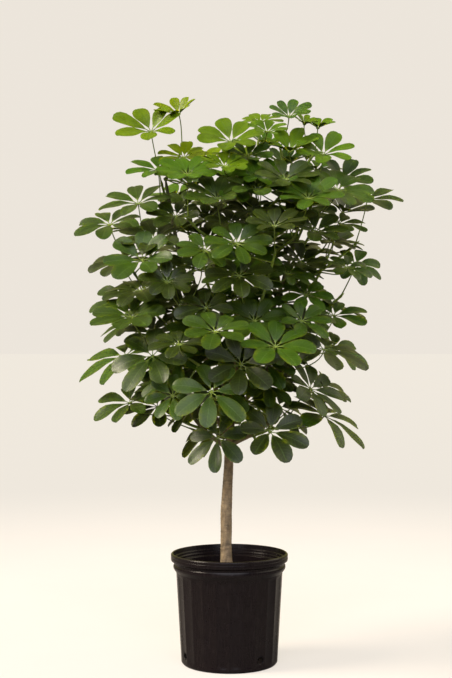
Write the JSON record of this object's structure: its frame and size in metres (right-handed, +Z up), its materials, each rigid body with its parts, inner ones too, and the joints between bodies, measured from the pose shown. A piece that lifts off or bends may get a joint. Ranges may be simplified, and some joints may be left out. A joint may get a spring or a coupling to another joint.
{
  "type": "potted schefflera",
  "caption": "Schefflera grown as a small tree: bare trunk, upright crown of umbrella-like compound leaves, in a fluted nursery pot filled with potting mix.",
  "frame": {"origin": "middle of the flat foot of the pot, on the surface that the pot stands on", "axes": "+Z up along the pot's axis, -Y towards the viewer who sees the fuller side of the crown, +X to that viewer's right"},
  "size_m": [0.7241, 0.6289, 1.2511],
  "materials": {
    "pot_plastic": "satin black, blow-moulded",
    "potting_mix": "dark crumbly peat and bark, moist",
    "bark": "matt grey-brown bark with fine rings",
    "leaf": "satin leaf with a waxy sheen, paler hub, midribs and stalks"
  },
  "bodies": {
    "root": {"pot": "pot_plastic", "potting_mix": "potting_mix", "trunk_and_limbs": "bark", "leafy_stem_01": "leaf", "leafy_stem_02": "leaf", "leafy_stem_03": "leaf", "leafy_stem_04": "leaf", "leafy_stem_05": "leaf", "leafy_stem_06": "leaf", "leafy_stem_07": "leaf", "leafy_stem_08": "leaf", "leafy_stem_09": "leaf", "leafy_stem_10": "leaf", "leafy_stem_11": "leaf", "leafy_stem_12": "leaf", "leafy_stem_13": "leaf", "leafy_stem_14": "leaf", "leafy_stem_15": "leaf", "leafy_stem_16": "leaf", "leafy_stem_17": "leaf", "leafy_stem_18": "leaf", "leafy_stem_19": "leaf", "leafy_stem_20": "leaf", "leafy_stem_21": "leaf", "leafy_stem_22": "leaf", "leafy_stem_23": "leaf", "leafy_stem_24": "leaf", "leafy_stem_25": "leaf", "leafy_stem_26": "leaf", "leafy_stem_27": "leaf", "leafy_stem_28": "leaf", "leafy_stem_29": "leaf", "leafy_stem_30": "leaf", "leafy_stem_31": "leaf", "leafy_stem_32": "leaf", "leafy_stem_33": "leaf", "leafy_stem_34": "leaf", "leafy_stem_35": "leaf", "leafy_stem_36": "leaf", "leafy_stem_37": "leaf", "leafy_stem_38": "leaf", "leafy_stem_39": "leaf", "leafy_stem_40": "leaf", "leafy_stem_41": "leaf", "leafy_stem_42": "leaf", "leafy_stem_43": "leaf", "leafy_stem_44": "leaf", "leafy_stem_45": "leaf", "leafy_stem_46": "leaf", "leafy_stem_47": "leaf", "leafy_stem_48": "leaf", "leafy_stem_49": "leaf", "leafy_stem_50": "leaf", "leafy_stem_51": "leaf", "leafy_stem_52": "leaf", "leafy_stem_53": "leaf", "leafy_stem_54": "leaf"}
  },
  "joints": []
}
